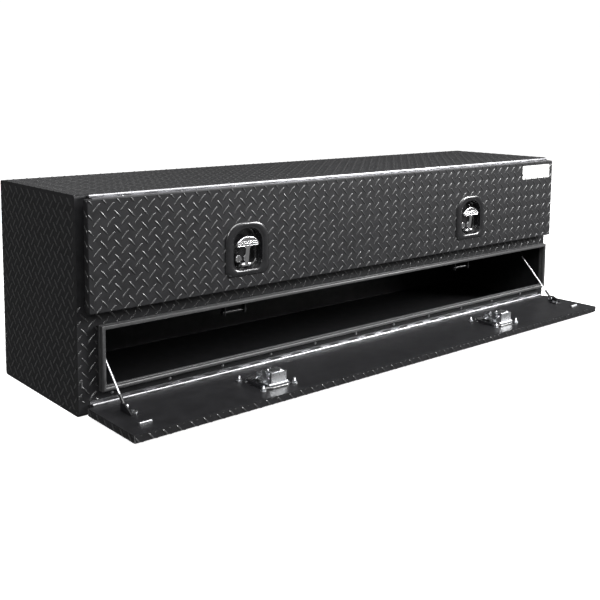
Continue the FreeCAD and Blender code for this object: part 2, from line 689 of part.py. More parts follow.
def strut_cylinder():
    long = strut_axis()[0]
    end = long - STRUT_TUBE_END
    tube = rod(STRUT_R, on_strut(EYE_R + 4), on_strut(end))
    neck = rod(ROD_R, on_strut(0), on_strut(EYE_R + 5))
    hollow = rod(STRUT_BORE, on_strut(EYE_R + 8), on_strut(end - 6))
    gland = rod(ROD_R + PISTON_GAP, on_strut(end - 7), on_strut(end + 1))
    bore = rod(BALL_R + RUNNING, STRUT_BODY - V(EYE_W, 0, 0), STRUT_BODY + V(EYE_W, 0, 0))
    return fuse([eye(STRUT_BODY), neck, tube]).cut([hollow, gland, bore])


def strut_rod():
    long = strut_axis()[0]
    piston_at = EYE_R + 12
    shaft = rod(ROD_R, on_strut(piston_at), on_strut(long))
    piston = rod(STRUT_BORE - PISTON_GAP, on_strut(piston_at), on_strut(piston_at + 8))
    return fuse([piston, shaft, eye(STRUT_DOOR)])


def strut_body_bracket():
    wall = HALF - SHEET
    at = STRUT_BODY
    foot = block(wall - BRACKET, wall, at.y - 20, at.y + 20, at.z - 20, at.z + 20)
    shoulder = rod(EYE_R, (wall - BRACKET, at.y, at.z), (at.x + EYE_W / 2 + FIT, at.y, at.z))
    stud = rod(BALL_R, (wall - BRACKET, at.y, at.z), (at.x - EYE_W / 2 - 2, at.y, at.z))
    return fuse([foot, shoulder, stud])


def strut_door_bracket():
    at = STRUT_DOOR
    face = at.x - EYE_W / 2 - FIT
    web_x = face - 6
    low, top = at.z - BRACKET_FOOT / 2, at.z + BRACKET_FOOT / 2
    foot = block(web_x - 20, web_x, DOOR_BACK, DOOR_BACK + BRACKET, low, top)
    web = block(web_x - BRACKET, web_x, DOOR_BACK, at.y + EYE_R, low, top)
    stud = rod(BALL_R, (web_x - 1, at.y, at.z), (face, at.y, at.z))
    return fuse([foot, web, stud])


# ---- Cables that hold the lower door level ------------------------------------------------------
CABLE_X = DOOR_HALF - CABLE_IN
CABLE_TOP = V(CABLE_X, FRONT + CABLE_BACK, SHELF_BOTTOM - CABLE_DROP)
CABLE_FOOT_AT = V(CABLE_X, PIN_Y - CABLE_DOOR_OUT, OPEN_FACE_Z + CABLE_DOOR_UP)


def cable_line():
    along = CABLE_TOP - CABLE_FOOT_AT
    return along.Length, along / along.Length


def on_cable(distance):
    return CABLE_FOOT_AT + cable_line()[1] * distance


def cable():
    long = cable_line()[0]
    return rod(CABLE_R, on_cable(FERRULE_LONG + CABLE_EYE_R), on_cable(long - FERRULE_LONG - CABLE_EYE_R))


def ferrule(centre, end):
    """Flat eye round a post along X, with the crimped sleeve that the cable runs into."""
    ring_eye = rod(CABLE_EYE_R, centre - V(CABLE_EYE / 2, 0, 0), centre + V(CABLE_EYE / 2, 0, 0))
    sleeve = rod(FERRULE_R, centre + (end - centre) * 0.2, end)
    hole = rod(CABLE_POST_R + POST_GAP, centre - V(9, 0, 0), centre + V(9, 0, 0))
    return fuse([ring_eye, sleeve]).cut(hole)


def cable_anchor():
    """Angle hung from the shelf, with the post and head that carry the cable's upper eye."""
    at = CABLE_TOP
    leg_x = at.x + CABLE_EYE / 2 + FIT
    head_x = at.x - CABLE_EYE / 2 - FIT
    half = CABLE_FOOT / 2
    foot = block(leg_x, leg_x + CABLE_FOOT, at.y - half, at.y + half, SHELF_BOTTOM - BRACKET, SHELF_BOTTOM)
    leg = block(leg_x, leg_x + BRACKET, at.y - half, at.y + half, at.z - CABLE_EYE_R, SHELF_BOTTOM)
    post = rod(CABLE_POST_R, (leg_x + 1, at.y, at.z), (head_x, at.y, at.z))
    head = rod(CABLE_EYE_R - 2, (head_x, at.y, at.z), (head_x - 4, at.y, at.z))
    sleeve_end = on_cable(cable_line()[0] - FERRULE_LONG - CABLE_EYE_R)
    return [fuse([foot, leg, post, head]), ferrule(at, sleeve_end)]


def cable_bracket():
    """Angle on the lower door's inner face that carries the cable's lower eye on a bolt."""
    at = CABLE_FOOT_AT
    leg_x = at.x + CABLE_EYE / 2 + FIT
    near, far = at.y + CABLE_EYE_R + 3, at.y - CABLE_FOOT_LONG
    foot = block(leg_x - CABLE_FOOT, leg_x + BRACKET, far, near, OPEN_FACE_Z, OPEN_FACE_Z + BRACKET)
    notch_end = at.y - CABLE_EYE_R - 3
    notch = block(leg_x - CABLE_FOOT, leg_x, notch_end, near, OPEN_FACE_Z, OPEN_FACE_Z + BRACKET)
    leg = block(leg_x, leg_x + BRACKET, far, near, OPEN_FACE_Z, at.z + CABLE_EYE_R)
    slope_top = at.z + CABLE_EYE_R
    corner = [
        V(leg_x - 1, far - 1, slope_top + 1), V(leg_x - 1, at.y - CABLE_EYE_R, slope_top + 1),
        V(leg_x - 1, far - 1, OPEN_FACE_Z + BRACKET),
    ]
    slope = Part.Face(Part.makePolygon(corner + corner[:1])).extrude(V(BRACKET + 2, 0, 0))
    return [fuse([foot.cut(notch), leg]).cut(slope), ferrule(at, on_cable(FERRULE_LONG + CABLE_EYE_R))]


def cable_screws():
    """Bolt through the cable's eye and the two screws that hold the angle to the door."""
    at = CABLE_FOOT_AT
    leg_x = at.x + CABLE_EYE / 2 + FIT
    head_x = at.x - CABLE_EYE / 2 - FIT
    bolt = rod(CABLE_POST_R, (head_x, at.y, at.z), (leg_x, at.y, at.z))
    head = rod(CABLE_EYE_R - 2, (head_x - 4, at.y, at.z), (head_x, at.y, at.z))
    screws = [fuse([bolt, head])]
    for back in CABLE_SCREWS:
        x, y = leg_x - CABLE_FOOT / 2, at.y - back
        top = OPEN_FACE_Z + BRACKET
        screws.append(rod(4.5, (x, y, top), (x, y, top + 3)))
    return screws


def stop_bar():
    x = CABLE_FOOT_AT.x
    y = PIN_Y - BAR_OUT
    half_long, half_wide, top_z = BAR_LONG / 2, BAR_WIDE / 2, OPEN_FACE_Z + BAR_HIGH
    bar = block(x - half_long, x + half_long, y - half_wide, y + half_wide, OPEN_FACE_Z, top_z)
    top = [edge for edge in bar.Edges if edge.BoundBox.ZMin > top_z - 0.1]
    return bar.makeFillet(2.0, top)


# ---- Every node -----------------------------------------------------------------------------
def body_nodes():
    anchors = cable_anchor()
    return {
        "body_wrap": body_wrap(),
        "end_panel_left": end_panel(-1),
        "end_panel_right": end_panel(1),
        "front_frame": front_frame(),
        "divider_shelf": divider_shelf(),
        "seal_upper": rim_seal(UPPER_RIM, STANDOFF - SEAL_GAP),
        "seal_lower": rim_seal(LOWER_RIM, FREE_SEAL),
        "hinge_upper_body_leaf": body_leaf(UPPER_PIN_Z, LEAF / 2),
        "hinge_upper_pin": hinge_pin(UPPER_PIN_Z),
        "hinge_lower_body_leaf": body_leaf(LOWER_PIN_Z, LEAF_ABOVE),
        "hinge_lower_pin": hinge_pin(LOWER_PIN_Z),
        "body_rivets": body_rivets(),
        "strikers": strikers(),
        "strut_body_brackets": both_ends(strut_body_bracket()),
        "cable_anchors": group(anchors + [mirrored(piece) for piece in anchors]),
        "cable_left": mirrored(cable()),
        "cable_right": cable(),
    }


def upper_door_nodes():
    return {
        "upper_door_skin": door_skin(UPPER_DOOR, "upper"),
        "upper_door_liner": door_liner(UPPER_DOOR, "upper"),
        "hinge_upper_door_leaf": door_leaf(UPPER_PIN_Z, -1),
        "upper_door_rivets": group(door_rivets(UPPER_PIN_Z, -1)),
        "strut_door_brackets": both_ends(strut_door_bracket()),
        "badge_plate": badge_plate(),
        "strut_left_cylinder": mirrored(strut_cylinder()),
        "strut_right_cylinder": strut_cylinder(),
        "strut_left_rod": mirrored(strut_rod()),
        "strut_right_rod": strut_rod(),
    }


def lower_door_nodes():
    brackets = cable_bracket()
    screws = cable_screws()
    rivets = [lay_down(head) for head in door_rivets(LOWER_PIN_Z, 1)]
    return {
        "lower_door_skin": lay_down(door_skin(LOWER_DOOR, "lower")),
        "lower_door_liner": lay_down(door_liner(LOWER_DOOR, "lower")),
        "hinge_lower_door_leaf": lay_down(door_leaf(LOWER_PIN_Z, 1)),
        "lower_door_rivets": group(rivets),
        "cable_brackets": group(brackets + [mirrored(piece) for piece in brackets]),
        "cable_screws": group(screws + [mirrored(piece) for piece in screws]),
        "stop_bars": both_ends(stop_bar()),
    }


def latch_nodes():
    nodes = {}
    for level in ("upper", "lower"):
        gaskets, studs, pins = [], [], []
        for (x, z, turn), end in zip(latch_places(level), ("left", "right")):
            def place(shape):
                return lay_down(turn(shape)) if level == "lower" else turn(shape)

            name = "latch_" + level + "_" + end
            nodes[name + "_dish"] = place(latch_dish(x, z))
            nodes[name + "_whale_tail"] = place(whale_tail(x, z))
            nodes[name + "_lock_plug"] = place(lock_plug(x, z))
            nodes[name + "_case"] = place(latch_case(x, z))
            nodes[name + "_claw"] = place(latch_claw(x, z))
            gaskets.append(place(latch_gasket(x, z)))
            studs += [place(latch_stud(sx, sz)) for sx, sz in stud_places(x, z)]
            pins += [place(tail_pin(x, z)), place(claw_pin(x, z))]
        nodes[level + "_latch_gaskets"] = group(gaskets)
        nodes[level + "_latch_studs"] = group(studs)
        nodes[level + "_latch_pins"] = group(pins)
    return nodes


def main():
    os.makedirs("parts", exist_ok=True)
    nodes = body_nodes()
    for more in (upper_door_nodes(), lower_door_nodes(), latch_nodes()):
        nodes.update(more)
    for name, shape in nodes.items():
        shape.exportStep("parts/" + name + ".step")
        state = "ok" if shape.isValid() else "NOT VALID"
        print(name, len(shape.Solids), "solid(s)", state, round(shape.Volume))
    print(len(nodes), "nodes; cable run", round(cable_line()[0], 1), "mm")


main()
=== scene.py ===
import json
import math
import random

import bmesh
import bpy
from mathutils import Matrix, Vector


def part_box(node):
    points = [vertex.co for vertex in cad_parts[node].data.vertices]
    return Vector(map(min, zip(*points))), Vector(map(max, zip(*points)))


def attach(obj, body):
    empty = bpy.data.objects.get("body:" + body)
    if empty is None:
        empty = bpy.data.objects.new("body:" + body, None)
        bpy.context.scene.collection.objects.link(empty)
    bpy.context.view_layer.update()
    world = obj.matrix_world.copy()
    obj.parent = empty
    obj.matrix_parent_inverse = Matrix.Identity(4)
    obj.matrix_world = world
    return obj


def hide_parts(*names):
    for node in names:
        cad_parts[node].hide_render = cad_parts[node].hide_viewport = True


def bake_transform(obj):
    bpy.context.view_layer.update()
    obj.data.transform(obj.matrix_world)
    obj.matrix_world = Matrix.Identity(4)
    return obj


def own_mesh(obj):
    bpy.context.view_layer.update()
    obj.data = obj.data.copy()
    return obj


# %% [markdown]
# # A truck tool box with two doors
# The fixed frame holds every plate, hinge, latch and bracket at its real size. This lesson dresses
# it: tread lugs, wire ropes, rubber trim, plated hardware and powder coat. Everything is in
# metres; X runs along the box, -Y is the side with the doors and Z is up.

# %% Load the frame and keep its box
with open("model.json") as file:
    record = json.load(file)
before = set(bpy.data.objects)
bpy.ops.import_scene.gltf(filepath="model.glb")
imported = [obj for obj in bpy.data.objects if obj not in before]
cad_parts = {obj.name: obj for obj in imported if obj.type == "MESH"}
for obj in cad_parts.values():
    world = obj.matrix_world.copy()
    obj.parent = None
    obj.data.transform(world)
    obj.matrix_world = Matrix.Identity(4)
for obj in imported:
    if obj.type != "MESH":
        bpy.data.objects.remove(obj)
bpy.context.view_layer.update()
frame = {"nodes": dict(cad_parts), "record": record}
random.seed(7)
MM = 0.001
nodes = frame["nodes"]


# %% [markdown]
# ## Camera
# A long box looks right only from where a person would stand: low, off one end, with a normal
# lens. The camera is placed by its spot, heading and tilt, and a small shift frames the box.

# %% Camera
def look(yaw, pitch, roll):
    """Camera turn from a heading (from +Y towards +X), a downward tilt and a roll, in degrees."""
    yaw, pitch, roll = (math.radians(angle) for angle in (yaw, pitch, roll))
    side = Vector((math.cos(yaw), -math.sin(yaw), 0))
    ahead = Vector((
        math.sin(yaw) * math.cos(pitch), math.cos(yaw) * math.cos(pitch), -math.sin(pitch),
    ))
    up = side.cross(ahead)
    right = math.cos(roll) * side + math.sin(roll) * up
    above = math.cos(roll) * up - math.sin(roll) * side
    return Matrix((right, above, -ahead)).transposed()


camera_data = bpy.data.cameras.new("camera")
camera_data.lens = 53.88
camera_data.sensor_width = 36
camera_data.shift_x = -0.0018
camera_data.shift_y = -0.1886
camera_data.clip_end = 50
camera = bpy.data.objects.new("camera", camera_data)
camera.matrix_world = Matrix.Translation((-1.8340, -2.0704, 0.7728)) @ look(40.58, 6.479, 0.404).to_4x4()
bpy.context.scene.collection.objects.link(camera)
bpy.context.scene.camera = camera
print("camera at", tuple(camera.location))

# %% [markdown]
# ## Making a piece
# Each shape is drawn in a bmesh, which has the editor's own operators, and becomes an object only
# when it is finished. The object stays at the origin with its place in its mesh, like the frame's
# own parts, so patterns on object coordinates stay put when a door swings.

# %% Piece and material helpers
materials = {}


def make_piece(name, bm, body, finish, smooth=True, angle=40):
    """Turn a bmesh into a piece that rides on a body and wears a finish."""
    mesh = bpy.data.meshes.new(name)
    bm.to_mesh(mesh)
    bm.free()
    piece = bpy.data.objects.new(name, mesh)
    bpy.context.scene.collection.objects.link(piece)
    mesh.materials.append(materials[finish])
    if smooth:
        mesh.shade_smooth()
        mesh.set_sharp_from_angle(angle=math.radians(angle))
    if body:
        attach(piece, body)
    return piece


def tidy_normals(bm, gap=1e-6):
    """Merge doubles, then turn every face outwards."""
    bmesh.ops.remove_doubles(bm, verts=bm.verts, dist=gap)
    bmesh.ops.recalc_face_normals(bm, faces=bm.faces)


def stamp(bm, template, place):
    """Add a placed copy of a small template mesh."""
    copy = template.copy()
    copy.transform(place)
    bm.from_mesh(copy)
    bpy.data.meshes.remove(copy)


def template_mesh(bm):
    """Keep a bmesh as a mesh that is stamped many times."""
    mesh = bpy.data.meshes.new("template")
    bm.to_mesh(mesh)
    bm.free()
    return mesh


def turn_to(direction):
    """Turn that takes +Z to a direction."""
    return Vector(direction).to_track_quat("Z", "Y").to_matrix().to_4x4()


# %% [markdown]
# ## Finishes
# Every finish starts from the same recipe, written once: a Principled shader, noise on object
# coordinates that varies the roughness as handling does, and a fine bump at the scale of the real
# coating. The black parts are powder coated, so their grain is a soft orange peel. The hardware
# is plated or polished, so it is metal with brushed streaks or crystal patches.

# %% A finish from a few numbers
def finish(name, colour, roughness, metallic=0.0, vary=0.08, patch=40.0, grain=900.0, grain_deep=0.00004,
           stretch=(1, 1, 1), tint=0.25, coat=0.0, specular=0.5):
    """Principled finish with patchy roughness and tint, and a fine bump."""
    material = bpy.data.materials.new(name)
    material.use_nodes = True
    tree = material.node_tree
    shader = tree.nodes["Principled BSDF"]
    shader.inputs["Metallic"].default_value = metallic
    shader.inputs["Coat Weight"].default_value = coat
    shader.inputs["Coat Roughness"].default_value = 0.08
    shader.inputs["Specular IOR Level"].default_value = specular

    where = tree.nodes.new("ShaderNodeTexCoord")
    mapping = tree.nodes.new("ShaderNodeMapping")
    mapping.inputs["Scale"].default_value = stretch
    tree.links.new(where.outputs["Object"], mapping.inputs["Vector"])

    def noise(scale, detail):
        node = tree.nodes.new("ShaderNodeTexNoise")
        node.inputs["Scale"].default_value = scale
        node.inputs["Detail"].default_value = detail
        tree.links.new(mapping.outputs["Vector"], node.inputs["Vector"])
        return node

    patches = noise(patch, 4)
    spread = tree.nodes.new("ShaderNodeMapRange")
    spread.inputs["To Min"].default_value = max(roughness - vary, 0.02)
    spread.inputs["To Max"].default_value = roughness + vary
    tree.links.new(patches.outputs["Fac"], spread.inputs["Value"])
    tree.links.new(spread.outputs["Result"], shader.inputs["Roughness"])

    shade = tree.nodes.new("ShaderNodeValToRGB")
    darker = [channel * (1 - tint) for channel in colour]
    lighter = [min(channel * (1 + tint), 1) for channel in colour]
    shade.color_ramp.elements[0].position = 0.3
    shade.color_ramp.elements[0].color = (*darker, 1)
    shade.color_ramp.elements[1].position = 0.7
    shade.color_ramp.elements[1].color = (*lighter, 1)
    tree.links.new(noise(patch * 1.7, 6).outputs["Fac"], shade.inputs["Fac"])
    tree.links.new(shade.outputs["Color"], shader.inputs["Base Color"])

    bump = tree.nodes.new("ShaderNodeBump")
    bump.inputs["Strength"].default_value = 0.5
    bump.inputs["Distance"].default_value = grain_deep
    tree.links.new(noise(grain, 3).outputs["Fac"], bump.inputs["Height"])
    tree.links.new(bump.outputs["Normal"], shader.inputs["Normal"])
    materials[name] = material
    return material


# %% The box's finishes
finish("black_tread_plate", (0.013, 0.013, 0.014), 0.50, vary=0.07, patch=25, grain=1400, grain_deep=0.00005,
       specular=0.22)
# The lugs wear the plate's own powder coat with a lighter base colour, a painted highlight that makes them read
# brighter than the plate.
finish("tread_lug_painted_highlight", (0.022, 0.022, 0.023), 0.26, vary=0.06, patch=60, grain=1800, grain_deep=0.00003, specular=0.9)
finish("black_smooth_sheet", (0.010, 0.010, 0.011), 0.42, vary=0.06, patch=18, grain=1600, grain_deep=0.00004,
       specular=0.3)
finish("hinge_steel", (0.30, 0.30, 0.31), 0.36, 1.0, vary=0.10, patch=90, grain=700, stretch=(0.15, 1, 1))
finish("black_rubber", (0.042, 0.042, 0.043), 0.40, vary=0.08, patch=70, grain=1200, grain_deep=0.00006, specular=0.7)
finish("latch_bowl_black", (0.008, 0.008, 0.009), 0.24, vary=0.05, patch=60, grain=900, grain_deep=0.00001, coat=0.4,
       specular=0.8)
finish("polished_steel", (0.80, 0.80, 0.81), 0.18, 1.0, vary=0.06, patch=150, grain=1100, grain_deep=0.00001,
       tint=0.05)
finish("zinc_plated_steel", (0.78, 0.79, 0.81), 0.30, 1.0, vary=0.10, patch=220, grain=1300, tint=0.15)
finish("wire_rope", (0.72, 0.72, 0.74), 0.32, 0.8, vary=0.10, patch=400, grain=2500, tint=0.15)
finish("black_painted_steel", (0.010, 0.010, 0.011), 0.30, vary=0.06, patch=60, grain=1300, coat=0.2)
finish("strut_rod_chrome", (0.75, 0.75, 0.76), 0.08, 1.0, vary=0.03, patch=120, grain=900, grain_deep=0.00001,
       tint=0.05)
finish("white_badge", (0.80, 0.80, 0.79), 0.35, vary=0.05, patch=50, grain=1500, tint=0.03)
finish("weld_bead", (0.05, 0.05, 0.052), 0.35, vary=0.12, patch=300, grain=600, grain_deep=0.0001, tint=0.4)
print("finishes", len(materials))

# %% Put them on the frame's own parts
for subpart in frame["record"]["subparts"]:
    mesh = nodes[subpart["node"]].data
    mesh.materials.clear()
    mesh.materials.append(materials[subpart["material_slot"]])

# %% [markdown]
# ## Wire ropes that hold the lower door
# Each rope runs taut from an eye under the shelf to an eye on the door. A real rope is six strands
# laid round a core. One strand's circle is spun about the rope's axis while it travels along it,
# which is exactly how the strand is laid; the other five are turned copies.

# %% Lay a rope
ROPE_R = 2.5 * MM
ROPE_STRANDS = 6
STRAND_R = 0.95 * MM
ROPE_PITCH = 26 * MM
SLEEVE = 24 * MM                # crimped sleeve beyond the eye's edge
EYE_R = 8.5 * MM


def rope_ends(side):
    """The rope's two ends, at the mouths of its crimped sleeves: body end, then door end."""
    low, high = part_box("cable_" + side)
    x = (low.x + high.x) / 2
    wide = ROPE_R * math.sqrt(0.5)
    return Vector((x, high.y - wide, high.z - wide)), Vector((x, low.y + wide, low.z + wide))


def laid_rope(length):
    """Rope along +Z from the origin."""
    bm = bmesh.new()
    bmesh.ops.create_cone(bm, cap_ends=True, segments=10, radius1=ROPE_R - 1.4 * STRAND_R,
                          radius2=ROPE_R - 1.4 * STRAND_R, depth=length,
                          matrix=Matrix.Translation((0, 0, length / 2)))
    turns = length / ROPE_PITCH
    steps = round(turns * 14)
    for strand in range(ROPE_STRANDS):
        place = Matrix.Rotation(strand * math.tau / ROPE_STRANDS, 4, "Z")
        place = place @ Matrix.Translation((ROPE_R - STRAND_R, 0, 0))
        ring = bmesh.ops.create_circle(bm, cap_ends=True, segments=8, radius=STRAND_R, matrix=place)
        start = [face for face in bm.faces if all(v in ring["verts"] for v in face.verts)]
        bmesh.ops.spin(bm, geom=start, cent=(0, 0, 0), axis=(0, 0, 1), angle=turns * math.tau,
                       dvec=(0, 0, length / steps), steps=steps, use_duplicate=False)
    bmesh.ops.recalc_face_normals(bm, faces=bm.faces)
    return bm


ropes = {}
for side in ("left", "right"):
    top, bottom = rope_ends(side)
    run = bottom - top
    bm = laid_rope(run.length)
    bm.transform(Matrix.Translation(top) @ turn_to(run))
    rope = make_piece("wire_rope_" + side, bm, None, "wire_rope", angle=60)
    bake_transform(rope)
    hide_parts("cable_" + side)
    ropes[side] = (top, bottom)
    print("rope", side, "run", round(run.length, 4))

# %% [markdown]
# ## Rolled tread lugs
# Tread plate is rolled with lens-shaped lugs that stand just over a millimetre proud, in two
# slants that alternate. A displaced plate would need millions of faces, so one small lug is
# shaped from a squashed sphere and stamped over each plate on the plate's own grid. A sheet of
# lugs is cut off at the plate's edges with a bisect, as a shear cuts the real plate.

# %% One lug
LUG_LONG, LUG_WIDE, LUG_HIGH = 30 * MM, 5.4 * MM, 1.3 * MM
LUG_PITCH_X, LUG_PITCH_Z = 36.0 * MM, 34.4 * MM
LUG_X, LUG_Z = -536.3 * MM, 440.6 * MM      # one lug's middle on the front, where the rows are counted from
LUG_SLANT = 48


def lug_shape():
    bm = bmesh.new()
    bmesh.ops.create_uvsphere(bm, u_segments=8, v_segments=6, radius=0.5,
                              matrix=Matrix.Rotation(math.radians(90), 4, "Y"))
    bmesh.ops.scale(bm, verts=bm.verts, vec=(LUG_LONG, LUG_WIDE, 2 * LUG_HIGH))
    cut = bm.verts[:] + bm.edges[:] + bm.faces[:]
    bmesh.ops.bisect_plane(bm, geom=cut, plane_co=(0, 0, -0.2 * LUG_HIGH), plane_no=(0, 0, -1), clear_outer=True)
    bmesh.ops.holes_fill(bm, edges=[edge for edge in bm.edges if edge.is_boundary], sides=0)
    return template_mesh(bm)


lug = lug_shape()
print("lug faces", len(lug.polygons))


# %% A sheet of lugs
def lug_sheet(name, body, origin, along, up, size, first, leave_out=()):
    """Lugs on a flat rectangle. first is one lug's middle, counted along and up from the corner;
    leave_out lists middles and half sizes of what covers the plate."""
    along, up = Vector(along), Vector(up)
    slants = ((0, -LUG_SLANT), (0.5, LUG_SLANT))
    bm = bmesh.new()
    for shift, slant in slants:
        columns = int(size[0] / LUG_PITCH_X) + 3
        rows = int(size[1] / LUG_PITCH_Z) + 3
        for column in range(-1, columns):
            for row in range(-1, rows):
                a = (first[0] % LUG_PITCH_X) + (column - 0 + shift) * LUG_PITCH_X
                b = (first[1] % LUG_PITCH_Z) + (row - 0 + shift) * LUG_PITCH_Z
                outside = not (-LUG_LONG / 2 < a < size[0] + LUG_LONG / 2 and
                               -LUG_LONG / 2 < b < size[1] + LUG_LONG / 2)
                hidden = any(abs(a - x) < half_w and abs(b - z) < half_h for x, z, half_w, half_h in leave_out)
                if outside or hidden:
                    continue
                turn = Matrix.Rotation(math.radians(slant + random.uniform(-1, 1)), 4, "Z")
                stamp(bm, lug, Matrix.Translation((a, b, 0)) @ turn)
    edges = (((0, 0, 0), (-1, 0, 0)), ((size[0], 0, 0), (1, 0, 0)), ((0, 0, 0), (0, -1, 0)), ((0, size[1], 0), (0, 1, 0)))
    for corner, outward in edges:
        geom = bm.verts[:] + bm.edges[:] + bm.faces[:]
        bmesh.ops.bisect_plane(bm, geom=geom, plane_co=corner, plane_no=outward, clear_outer=True)
        bmesh.ops.holes_fill(bm, edges=[edge for edge in bm.edges if edge.is_boundary], sides=0)
    place = Matrix((along, up, along.cross(up))).transposed().to_4x4()
    bm.transform(Matrix.Translation(origin) @ place)
    # The lugs' finish is the plate's powder coat painted lighter, a painted highlight.
    piece = make_piece(name, bm, body, "tread_lug_painted_highlight", angle=70)
    print(name, len(piece.data.polygons), "faces")
    return piece


def front_sheet(name, body, x0, x1, z0, z1, y, leave_out=()):
    """Lugs on a plate that faces the front, on the rows that all front plates share."""
    holes = [(x - x0, z - z0, half_w, half_h) for x, z, half_w, half_h in leave_out]
    return lug_sheet(name, body, (x0, y, z0), (1, 0, 0), (0, 0, 1), (x1 - x0, z1 - z0),
                     (LUG_X - x0, LUG_Z - z0), holes)


# %% Places on the frame
body_low, body_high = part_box("end_panel_left")
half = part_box("end_panel_right")[1].x
front_y, back_y = body_low.y, body_high.y
box_high = body_high.z
upper_low, upper_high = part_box("upper_door_skin")
lower_low, lower_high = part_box("lower_door_skin")
FOLD = 2.5 * MM                 # outside radius of a door's folds
BODY_FOLD = 8 * MM
dishes = {}
for level in ("upper", "lower"):
    for side in ("left", "right"):
        low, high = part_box("latch_" + level + "_" + side + "_dish")
        dishes[level, side] = (low, high)


def middle(name):
    low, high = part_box(name)
    return (low + high) / 2


# %% Lugs on the upper door
def dish_cover(level, side):
    low, high = dishes[level, side]
    size = (high - low) / 2
    return (low + high) / 2, size


covers = []
for side in ("left", "right"):
    centre, size = dish_cover("upper", side)
    covers.append((centre.x, centre.z, size.x - 6 * MM, size.z - 6 * MM))
badge = middle("badge_plate")
badge_low, badge_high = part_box("badge_plate")
covers.append((badge.x, badge.z, (badge_high.x - badge_low.x) / 2 - 2 * MM, (badge_high.z - badge_low.z) / 2 - 2 * MM))
front_sheet("lugs_upper_door_face", "upper_door", upper_low.x + FOLD, upper_high.x - FOLD,
            upper_low.z + FOLD, upper_high.z - FOLD, upper_low.y, covers)

edge_deep = upper_high.y - upper_low.y - 2 * FOLD
for side, x, along in (("left", upper_low.x, (0, -1, 0)), ("right", upper_high.x, (0, 1, 0))):
    y = upper_high.y - FOLD if side == "left" else upper_low.y + FOLD
    lug_sheet("lugs_upper_door_" + side, "upper_door", (x, y, upper_low.z + FOLD), along, (0, 0, 1),
              (edge_deep, upper_high.z - upper_low.z - 2 * FOLD), (0.008, LUG_Z - upper_low.z))
lug_sheet("lugs_upper_door_foot", "upper_door", (upper_low.x + FOLD, upper_high.y - FOLD, upper_low.z),
          (1, 0, 0), (0, -1, 0), (upper_high.x - upper_low.x - 2 * FOLD, edge_deep), (LUG_X - upper_low.x, 0.006))

# %% Lugs on the lower door, which lies open with its outer face down
covers = []
for side in ("left", "right"):
    centre, size = dish_cover("lower", side)
    covers.append((centre.x - lower_low.x - FOLD, lower_high.y - FOLD - centre.y, size.x - 6 * MM, size.y - 6 * MM))
lug_sheet("lugs_lower_door_face", "lower_door", (lower_low.x + FOLD, lower_high.y - FOLD, lower_low.z),
          (1, 0, 0), (0, -1, 0), (lower_high.x - lower_low.x - 2 * FOLD, lower_high.y - lower_low.y - 2 * FOLD),
          (LUG_X - lower_low.x, 0.02), covers)
door_deep = lower_high.z - lower_low.z - 2 * FOLD
lug_sheet("lugs_lower_door_free_edge", "lower_door", (lower_low.x + FOLD, lower_low.y, lower_low.z + FOLD),
          (1, 0, 0), (0, 0, 1), (lower_high.x - lower_low.x - 2 * FOLD, door_deep), (LUG_X - lower_low.x, 0.004))
door_run = lower_high.y - lower_low.y - 2 * FOLD
lug_sheet("lugs_lower_door_left", "lower_door", (lower_low.x, lower_high.y - FOLD, lower_low.z + FOLD),
          (0, -1, 0), (0, 0, 1), (door_run, door_deep), (0.011, 0.004))
lug_sheet("lugs_lower_door_right", "lower_door", (lower_high.x, lower_low.y + FOLD, lower_low.z + FOLD),
          (0, 1, 0), (0, 0, 1), (door_run, door_deep), (0.02, 0.004))

# %% Lugs on the body
END_LUG_Y, END_LUG_Z = -35 * MM, 505 * MM
end_run = back_y - front_y - 2 * BODY_FOLD
end_high = box_high - 2 * BODY_FOLD
lug_sheet("lugs_end_left", "body", (-half, back_y - BODY_FOLD, BODY_FOLD), (0, -1, 0), (0, 0, 1),
          (end_run, end_high), (back_y - BODY_FOLD - END_LUG_Y, END_LUG_Z - BODY_FOLD))
lug_sheet("lugs_end_right", "body", (half, front_y + BODY_FOLD, BODY_FOLD), (0, 1, 0), (0, 0, 1),
          (end_run, end_high), (0.01, END_LUG_Z - BODY_FOLD))
lug_sheet("lugs_top", "body", (-half, front_y + BODY_FOLD, box_high), (1, 0, 0), (0, 1, 0),
          (2 * half, end_run), (LUG_X + half, 0.012))
lug_sheet("lugs_back", "body", (half, back_y, BODY_FOLD), (-1, 0, 0), (0, 0, 1), (2 * half, end_high), (0.015, 0.01))

seal_low, seal_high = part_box("seal_lower")
upper_seal_low, upper_seal_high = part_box("seal_upper")
leaf_low, leaf_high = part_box("hinge_lower_body_leaf")
front_sheet("lugs_front_left", "body", -half, seal_low.x, leaf_high.z, upper_seal_low.z, front_y)
front_sheet("lugs_front_right", "body", seal_high.x, half, leaf_high.z, upper_seal_low.z, front_y)
front_sheet("lugs_front_middle", "body", seal_low.x, seal_high.x, seal_high.z, upper_seal_low.z, front_y)

# %% [markdown]
# ## Bulb trim round the lower opening
# The rubber has a clip part that grips the flange and a round bulb in front of it that the door
# squeezes, and it is cut at 45 degrees where two lengths meet in a corner. So its section is drawn
# once, extruded along each side, cut with a slanted plane and welded to its neighbours.

# %% Mitred bars round a rectangle
TRIM_HALF = 5 * MM
CLIP_DEEP = 9.0 * MM            # from the root of the trim to the groove behind its bulb


def rounded_section(bm, x, z, y0, y1, round_by):
    """Loop of edges across X: a rectangle with rounded corners."""
    bmesh.ops.create_grid(bm, x_segments=1, y_segments=1, size=0.5, matrix=turn_to((1, 0, 0)))
    low, high = min(y0, y1), max(y0, y1)
    bmesh.ops.scale(bm, verts=bm.verts, vec=(1, high - low, 2 * TRIM_HALF))
    bmesh.ops.translate(bm, verts=bm.verts, vec=(x, (low + high) / 2, z))
    bmesh.ops.bevel(bm, geom=bm.verts[:], offset=round_by, segments=5, profile=0.5, affect="VERTICES", material=-1)
    bmesh.ops.delete(bm, geom=bm.faces[:], context="FACES_ONLY")


